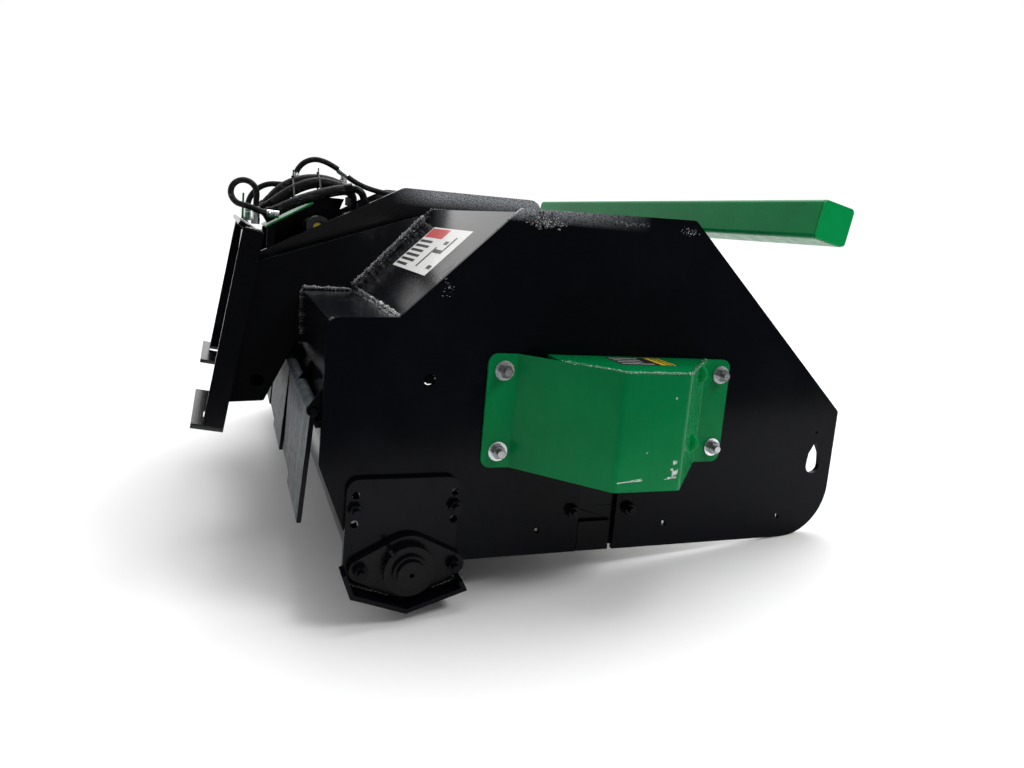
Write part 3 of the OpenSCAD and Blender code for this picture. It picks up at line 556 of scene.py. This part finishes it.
def welds():
    """The painted beads of the housing, those of the guards, and the guards' plug welds."""
    bm = bmesh.new()
    for s in (-1, 1):
        wall = [head(6, s * neck_y(z), z) for z in (410, 528)]
        shelf = [head(x, s * neck_y(530), 530) for x in (8, 146)]
        slope = [head(x, s * neck_y(z), z) for x, z in (HOOD[2], (352, 739))]
        out = turned(-0.6, s * 0.8, 0.5)
        shift = turned(-3, s * 9, 4) / 1000
        for i, (path, passes) in enumerate(((wall, 2), (shelf, 3), (slope, 6))):
            for k in range(passes):
                line = [p + shift * (k - 1) for p in path]
                bead(bm, line, 0.0072, 11 + 7 * i + k, out, step=0.0052 + 0.0007 * (k % 3))
            crumbs(bm, path, shift, passes, 60 + i)
        fold = [head(147, s * neck_y(532), 531), head(147, s * 914, 531)]
        for k in range(2):
            up = turned(5, 0, 6) * (k / 1000)
            bead(bm, [p + up for p in fold], 0.0075, 41 + k, turned(-0.5, 0, 0.8), step=0.006)
        crumbs(bm, fold, turned(4, 0, 5) / 1000, 2, 66)
        for y in (RAIL_Y, RAIL_Y - 16):
            foot = [head(x, s * y, z) for x, z in (HOOD[2], HOOD[3], (742, 786.5))]
            bead(bm, foot, 0.0055, 51 + y, turned(-0.4, s * (1 if y == RAIL_Y else -1), 0.8))
        edge = [head(x, s * 914, z) for x, z in HOOD[1:5]]
        bead(bm, edge, 0.0055, 61, turned(-0.5, -s, 0.8))
        gusset = [head(*on_attach(36, s * 574, up)) for up in (12, 458)]
        bead(bm, gusset, 0.005, 71, turned(-0.7, -s * 0.7, 0))
        top = [head(*on_attach(f, s * 580, 476)) for f in (4, 44)]
        bead(bm, top, 0.006, 72, turned(0, 0, 1))
        neck = [head(*on_attach(49, s * neck_y(z), z - 218)) for z in (250, 585)]
        bead(bm, neck, 0.0065, 75, turned(0.7, s * 0.7, 0))
        lip = [head(x, s * (SIDE_Y + 17), z) for x, z in BRACKET_LIP[1:4]]
        bead(bm, [p + turned(0, 0, 11) / 1000 for p in lip], 0.0045, 81, turned(0, s, 0.8))
    piece("welds_black", bm, "weld")

    bm = bmesh.new()
    for s in (-1, 1):
        bends = [(485, 1004)] + GUARD[2:4] + [(897, 931)]
        rim = [head(x, s * (y + 3), GUARD_TOP - 1) for x, y in bends]
        bead(bm, rim, 0.0050, 91, turned(0, 0, 1), step=0.006)
        crumbs(bm, rim, turned(0, s * 4, 0) / 1000, 1, 92)
    piece("welds_guard", bm, "green_weld")

    bm = bmesh.new()
    for s in (-1, 1):
        for x, y, z in PLUG_WELDS:
            face = Matrix.Rotation(s * GUARD_SLOPE, 4, "Z") @ Matrix.Diagonal((*PLUG_SIZE, 1))
            bmesh.ops.create_uvsphere(bm, u_segments=28, v_segments=16, radius=1,
                                      matrix=Matrix.Translation(head(x, s * y, z)) @ face)
    # The domes take the lighter cap green, which is painted light.
    piece("plug_welds", bm, "cap_paint")


# Patches of spatter on a side plate: middle x and z, their spreads, how many, how big.
SPATTER = [(455, 764, 34, 13, 190, 1.9), (660, 776, 50, 5, 60, 1), (815, 772, 24, 9, 40, 1),
           (242, 606, 14, 22, 16, 1)]
SPATTER_TOP = 786


def spatter():
    """Weld spatter under the paint, in patches near each side plate's upper edges."""
    rng = random.Random(5)
    bm = bmesh.new()
    for s in (-1, 1):
        for cx, cz, rx, rz, count, big in SPATTER:
            for _ in range(count):
                x = cx + rng.gauss(0, 0.5) * rx
                z = min(cz + rng.gauss(0, 0.5) * rz, SPATTER_TOP)
                size = (big * rng.uniform(1.2, 3.4), big * rng.uniform(0.6, 1.2),
                        big * rng.uniform(1.0, 2.4), 1000)
                grow = Matrix.Diagonal([v / 1000 for v in size])
                where = Matrix.Translation(head(x, s * (SIDE_Y + 0.3), z))
                bmesh.ops.create_icosphere(bm, subdivisions=1, radius=1, matrix=where @ grow)
    piece("spatter", bm, "weld")


# Film thickness, and how far each layer of print stands on the one below, in millimetres.
FILM = 0.15
LAYER = 0.12


def slab(bm, origin, u, v, out, boxes, lift):
    """Thin printed patches (u0, v0, u1, v1) in millimetres on the face at origin."""
    for u0, v0, u1, v1 in boxes:
        rim = ((u0, v0), (u1, v0), (u1, v1), (u0, v1))
        corners = [origin + u * a / 1000 + v * b / 1000 for a, b in rim]
        low = [bm.verts.new(c + out * lift / 1000) for c in corners]
        high = [bm.verts.new(c + out * (lift + FILM) / 1000) for c in corners]
        bm.faces.new(high)
        bm.faces.new(low[::-1])
        for k in range(4):
            bm.faces.new((low[k], low[(k + 1) % 4], high[(k + 1) % 4], high[k]))


def lines(u0, u1, v0, v1, rows, seed, fill=0.5):
    """Plain bars of uneven length in place of lines of print; fill is their share of a row."""
    rng = random.Random(seed)
    pitch = (v1 - v0) / rows
    low, high = 0.5 + fill / 2, 0.5 - fill / 2
    out = []
    for i in range(rows):
        end = u0 + (u1 - u0) * rng.uniform(0.7, 1)
        out.append((u0, v1 - (i + low) * pitch, end, v1 - (i + high) * pitch))
    return out


# The labels' middles: x, half-width y, z. Then their layers of print, from the lowest up.
HOOD_LABEL = (286, 586, 672.6)
GUARD_LABEL = (690, 984, GUARD_TOP)
HOOD_PRINT = {
    "film_white": [(-178, -77, 178, 77)],
    "film_red": [(-172, 38, 4, 72)],
    "film_black": lines(-168, -10, -72, 32, 6, 3)
    + [(30, -60, 44, 10), (44, -8, 120, 4), (108, 4, 122, 50), (60, 22, 92, 34),
       (126, -58, 160, -46)],
}
GUARD_PRINT = {
    "film_black": [(-72, -46, 74, 46)],
    "film_yellow": [(30, -42, 44, 42), (50, -42, 56, 42), (62, -42, 68, 42)],
    "film_white": lines(-66, 20, -42, 42, 4, 9, 0.18),
}


def labels():
    """Generic labels on both sides: plain bars, a band and a plain mark, with no wording."""
    slope_up = turned(245, 0, 246).normalized()
    slope_out = turned(-246, 0, 245).normalized()
    ahead, top = turned(1, 0, 0), turned(0, 0, 1)
    for s, name in ((-1, "right"), (1, "left")):
        outward = turned(0, s, 0)
        for kind, (x, y, z), u, v, out, layers in (
                ("label", HOOD_LABEL, outward, slope_up, slope_out, HOOD_PRINT),
                ("guard_label", GUARD_LABEL, ahead, outward * -1, top, GUARD_PRINT)):
            for i, (look, boxes) in enumerate(layers.items()):
                bm = bmesh.new()
                slab(bm, head(x, s * y, z), u, v, out, boxes, FILM + LAYER * i)
                piece(f"{kind}_{look}_{name}", bm, look, smooth=False)


# Bare marks on the right guard's flat face: x, z, width, height and lean in degrees.
SCUFFS = [(585, 236, 60, 2.2, 4), (608, 239, 34, 1.2, 8), (706, 244, 22, 3, 3),
          (716, 252, 14, 12, 20), (716, 276, 10, 8, 10), (712, 262, 6, 5, 0),
          (699, 241, 30, 1.4, 6), (648, 300, 3, 3, 30), (704, 418, 4, 5, 0)]
SCUFF_Y = -(GUARD[2][1] + GUARD_T + 0.17)


def scuffs():
    """Bare scratches and chips on the flat face of the right guard."""
    bm = bmesh.new()
    rng = random.Random(17)
    for x, z, w, h, lean in SCUFFS:
        slope = math.tan(math.radians(lean))
        steps = [w * k / 5 for k in range(6)]
        top = [(x + d, z + d * slope + h * rng.uniform(0.3, 0.9)) for d in steps]
        low = [(x + d, z + d * slope - h * rng.uniform(0.1, 0.6)) for d in steps]
        bm.faces.new([bm.verts.new(head(px, SCUFF_Y, pz)) for px, pz in low + top[::-1]])
    piece("guard_scuffs", bm, "chip", smooth=False)


# Hoses ----------------------------------------------------------------------

# The middle lines of the CAD hoses, in millimetres of the head's own frame.
ROUTES = {
    "hose_1": [(138, -92, 813), (128, -92, 811), (114, -92, 808), (100, -92, 804),
               (86, -92, 799.5), (72, -92, 794.5), (57, -92, 789), (42, -92, 783),
               (27, -92, 777), (12, -92, 770.5), (-2, -92, 763.5), (-11, -92, 758.7),
               (-19, -92, 754.3), (-27, -92, 749.8), (-35, -92, 745.2), (-42, -92, 741),
               (-50, -92, 736.3)],
    "hose_2": [(128, -47, 820), (113, -47, 824), (98, -47, 827), (83, -47, 828.5), (68, -47, 828),
               (53, -47, 825.5), (38, -47, 821), (23, -47, 815), (9, -47, 808), (-5, -47, 800),
               (-18, -47, 791.5), (-31, -47, 782), (-43, -47, 772.5), (-54, -47, 763),
               (-64, -47, 754)],
    "hose_3": [(128, -2, 829), (112, -2, 834), (96, -2, 837), (80, -2, 838.5), (64, -2, 838.5),
               (48, -2, 837), (32, -2, 834), (16, -2, 829.5), (1, -2, 824), (-13, -2, 817),
               (-26, -2, 809), (-38, -2, 799.5), (-49, -2, 789), (-59, -2, 777.5),
               (-68, -2, 765.5)],
    "hose_drain": [(480, 58, 812), (440, 58, 812), (400, 58, 812.5), (360, 58, 814),
                   (320, 57, 816.5), (286, 56, 820), (256, 55, 824.5), (229, 55, 830.5),
                   (204, 55, 838.5), (181, 55, 849.5), (160, 55, 862), (139, 55, 875.5),
                   (117, 55, 887.5), (94, 55, 897), (70, 55, 901.5), (50.7, 55, 899),
                   (32.1, 55, 890.1), (17.3, 55, 875.7), (7.6, 55, 857.5), (4, 55, 836)],
    "hose_return": [(-10, 58, 812), (-24, 58, 814), (-38, 58, 814.5), (-52, 58, 814),
                    (-65.9, 58, 812.8), (-79.4, 58, 809.2), (-92, 59, 803.3), (-103.4, 59, 795.3),
                    (-113.3, 60, 785.4), (-121.3, 60, 774), (-127.2, 60, 761.4),
                    (-130.8, 60, 747.9), (-132, 60, 738), (-132, 60, 730), (-132, 60, 722)],
    "hose_loop": [(-66, -126, 722), (-79, -126, 723), (-92, -126, 725.5), (-105, -126, 729),
                  (-119, -125, 733.5), (-133, -124, 738), (-148, -123, 741), (-165.5, -121, 745.7),
                  (-178.3, -119, 758.5), (-183, -117, 776), (-178.3, -115, 793.5),
                  (-165.5, -113, 806.3), (-148, -111, 811), (-130.5, -109, 806.3),
                  (-117.7, -107, 793.5), (-113, -104, 776), (-113, -102, 758), (-113, -101, 740),
                  (-113, -100, 722)],
}
MAIN_R = 16
THIN_R = 8.5


def smooth_line(points, parts=4):
    """The same line, with points between on a curve through them."""
    out = []
    last = len(points) - 1
    for i in range(last):
        a, b = points[max(0, i - 1)], points[i]
        c, d = points[i + 1], points[min(last, i + 2)]
        for k in range(parts):
            t = k / parts
            out.append(0.5 * (2 * b + (c - a) * t + (2 * a - 5 * b + 4 * c - d) * t * t
                              + (3 * b - a - 3 * c + d) * t ** 3))
    return out + [points[-1]]


def hose(name, radius):
    """One hose as a swept curve, in place of its CAD node."""
    points = smooth_line([head(*p) for p in ROUTES[name]])
    curve = bpy.data.curves.new(name + "_cover", "CURVE")
    curve.dimensions = "3D"
    curve.bevel_depth = radius / 1000
    curve.bevel_resolution = 6
    curve.use_fill_caps = True
    line = curve.splines.new("POLY")
    line.points.add(len(points) - 1)
    for p, co in zip(line.points, points):
        p.co = (*co, 1)
    obj = bpy.data.objects.new(name + "_cover", curve)
    bpy.context.collection.objects.link(obj)
    curve.materials.append(LOOKS["hose_rubber"])
    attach(obj, "housing")
    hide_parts(name)


def hoses():
    for name in ("hose_1", "hose_2", "hose_3"):
        hose(name, MAIN_R)
    hose("hose_drain", THIN_R)
    hose("hose_return", THIN_R)
    hose("hose_loop", THIN_R)


def hull(points):
    """Convex outline round the points (y, z)."""
    points = sorted(set(points))
    out = []
    for run in (points, points[::-1]):
        edge = []
        for p in run:
            while len(edge) > 1 and ((edge[-1][0] - edge[-2][0]) * (p[1] - edge[-2][1])
                                     <= (edge[-1][1] - edge[-2][1]) * (p[0] - edge[-2][0])):
                edge.pop()
            edge.append(p)
        out += edge[:-1]
    return out


def section(x):
    """Centres (y, z) of the three main hoses where they cross the plane at x."""
    out = []
    for name in ("hose_1", "hose_2", "hose_3"):
        for a, b in zip(ROUTES[name], ROUTES[name][1:]):
            if a[0] >= x > b[0]:
                t = (a[0] - x) / (a[0] - b[0])
                out.append((a[1] + (b[1] - a[1]) * t, a[2] + (b[2] - a[2]) * t))
    return out


# Where the two ties go round, in x, and a tie's width, thickness and facets round each hose.
TIE_X = (66, -8)
TIE_W = 5
TIE_T = 1.6
TIE_FACETS = 24


def cable_ties():
    """Straps pulled round the bundle of main hoses, each with a head and a cut tail."""
    for i, x in enumerate(TIE_X):
        bm = bmesh.new()
        loops = []
        for r in (MAIN_R + 0.2, MAIN_R + 0.2 + TIE_T):
            angles = [k * math.pi / (TIE_FACETS / 2) for k in range(TIE_FACETS)]
            spots = [(y + r * math.cos(a), z + r * math.sin(a))
                     for y, z in section(x) for a in angles]
            loops.append(hull(spots))
        outline = [[[bm.verts.new(head(x + dx, *p)) for p in loop] for loop in loops]
                   for dx in (-TIE_W / 2, TIE_W / 2)]
        for side, flip in ((outline[0], 1), (outline[1], -1)):
            inner, outer = side
            count = min(len(inner), len(outer))
            for k in range(count):
                j = (k + 1) % count
                bm.faces.new((inner[k], inner[j], outer[j], outer[k])[::flip])
        for level in (0, 1):
            a, b = outline[0][level], outline[1][level]
            for k in range(len(a)):
                j = (k + 1) % len(a)
                bm.faces.new((a[k], a[j], b[j], b[k]) if level else (a[k], b[k], b[j], a[j]))
        top = max(loops[1], key=lambda p: p[1])
        block(bm, (x, top[0], top[1] + 2), (8, 7, 5))
        block(bm, (x + 1, top[0] - 2, top[1] + 9 + 3 * (i % 2)), (3.6, 1.4, 16 + 6 * (i % 2)))
        piece(f"cable_tie_{i + 1}", bm, "hose_rubber", smooth=False)


def block(bm, centre, size):
    """A small block square to the head, in millimetres."""
    for v in bmesh.ops.create_cube(bm, size=1)["verts"]:
        v.co = head(*[c + d * e for c, d, e in zip(centre, v.co, size)])


def tube(bm, start, end, r0, r1, sides=24):
    """A plain turned length between two points of the head, in millimetres."""
    a, b = head(*start), head(*end)
    run = b - a
    turn = run.to_track_quat("Z", "X").to_matrix().to_4x4()
    where = Matrix.Translation((a + b) / 2) @ turn
    bmesh.ops.create_cone(bm, cap_ends=True, segments=sides, radius1=r0 / 1000, radius2=r1 / 1000,
                          depth=run.length, matrix=where)


# A ferrule's turned lengths: from and to along the hose, and the steps above its radius.
FERRULE = ((0, 3, 1.5, 3.0), (3, 9, 3.0, 2.6), (9, 11, 2.6, 3.1), (11, 19, 3.1, 1.4))
# The plugged tee's sleeve, stem, hexagon and plug: both ends, both radii and the sides.
TEE = (((163, 55, 860.2), (134, 55, 878.4), 11.5, 11.5, 24),
       ((147, 55, 870), (152, 55, 845), 8, 8, 24),
       ((150.6, 55, 852), (153.4, 55, 838), 12, 12, 6),
       ((153.4, 55, 838), (155, 55, 830), 7, 6, 24))


def fittings():
    """Crimped ferrules on the thin hoses' ends and the plugged tee on the arched hose."""
    bm = bmesh.new()
    for name in ("hose_drain", "hose_return", "hose_loop"):
        route = ROUTES[name]
        for a, b in ((route[0], route[1]), (route[-1], route[-2])):
            start = Vector(a)
            run = (Vector(b) - start).normalized()
            for near, far, r0, r1 in FERRULE:
                tube(bm, start + run * near, start + run * far, THIN_R + r0, THIN_R + r1)
    for start, end, r0, r1, sides in TEE:
        tube(bm, start, end, r0, r1, sides)
    piece("hose_fittings", bm, "zinc", smooth=False)


# Studio ---------------------------------------------------------------------

# The floor's corners: it runs from a little in front of the head to well behind it.
FLOOR = (-9, -1.95, 9, 12)
# The sky's strength in front of the head and behind it, and where between it changes.
SKY = (0.20, 1.05)
SKY_TURN = (-0.45, 0.15)


def studio():
    """A pale floor, and a soft white sky that is dimmer in front of the head."""
    bm = bmesh.new()
    x0, y0, x1, y1 = FLOOR
    bm.faces.new([bm.verts.new((x, y, 0)) for x, y in ((x0, y0), (x1, y0), (x1, y1), (x0, y1))])
    mesh = bpy.data.meshes.new("floor")
    bm.to_mesh(mesh)
    bm.free()
    floor = bpy.data.objects.new("floor", mesh)
    bpy.context.collection.objects.link(floor)
    s = Shader("floor").set(Specular_IOR_Level=0.0)
    s.colour(s.mix(s.noise(1.5, 3), (0.93, 0.93, 0.93), (0.95, 0.95, 0.95)))
    s.rough(s.ramp(s.noise(8, 3), 0, 1, 0.8, 0.9))
    mesh.materials.append(s.mat)

    world = bpy.data.worlds.new("studio")
    bpy.context.scene.world = world
    world.use_nodes = True
    tree = world.node_tree
    background = tree.nodes["Background"]
    place = tree.nodes.new("ShaderNodeTexCoord")
    split = tree.nodes.new("ShaderNodeSeparateXYZ")
    behind = tree.nodes.new("ShaderNodeMapRange")
    tree.links.new(place.outputs["Generated"], split.inputs["Vector"])
    tree.links.new(split.outputs["Y"], behind.inputs["Value"])
    for key, v in zip(("From Min", "From Max", "To Min", "To Max"), SKY_TURN + SKY):
        behind.inputs[key].default_value = v
    background.inputs["Color"].default_value = (1, 1, 1, 1)
    tree.links.new(behind.outputs["Result"], background.inputs["Strength"])
    bpy.context.scene.view_settings.view_transform = "Standard"


def area_light(name, spot, size, power):
    """A rectangular light at spot, turned to the middle of the head."""
    lamp = bpy.data.lights.new(name, "AREA")
    lamp.shape = "RECTANGLE"
    lamp.size, lamp.size_y = size
    lamp.energy = power
    obj = bpy.data.objects.new(name, lamp)
    bpy.context.collection.objects.link(obj)
    aim = Vector((0, 0, 0.4)) - Vector(spot)
    obj.matrix_world = Matrix.Translation(spot) @ aim.to_track_quat("-Z", "Y").to_matrix().to_4x4()


def sky_light(name, towards, spread, strength):
    """A very soft sun, from the direction towards it."""
    lamp = bpy.data.lights.new(name, "SUN")
    lamp.angle = math.radians(spread)
    lamp.energy = strength
    obj = bpy.data.objects.new(name, lamp)
    bpy.context.collection.objects.link(obj)
    obj.matrix_world = Vector(towards).to_track_quat("Z", "Y").to_matrix().to_4x4()


make_camera()
hoses()
dress_nodes()
welds()
spatter()
labels()
scuffs()
cable_ties()
fittings()
studio()
area_light("key", (2.2, -3.2, 3.4), (1.6, 1.0), 75)
sky_light("sky", (0.3, 0.5, 1.0), 60, 2.4)
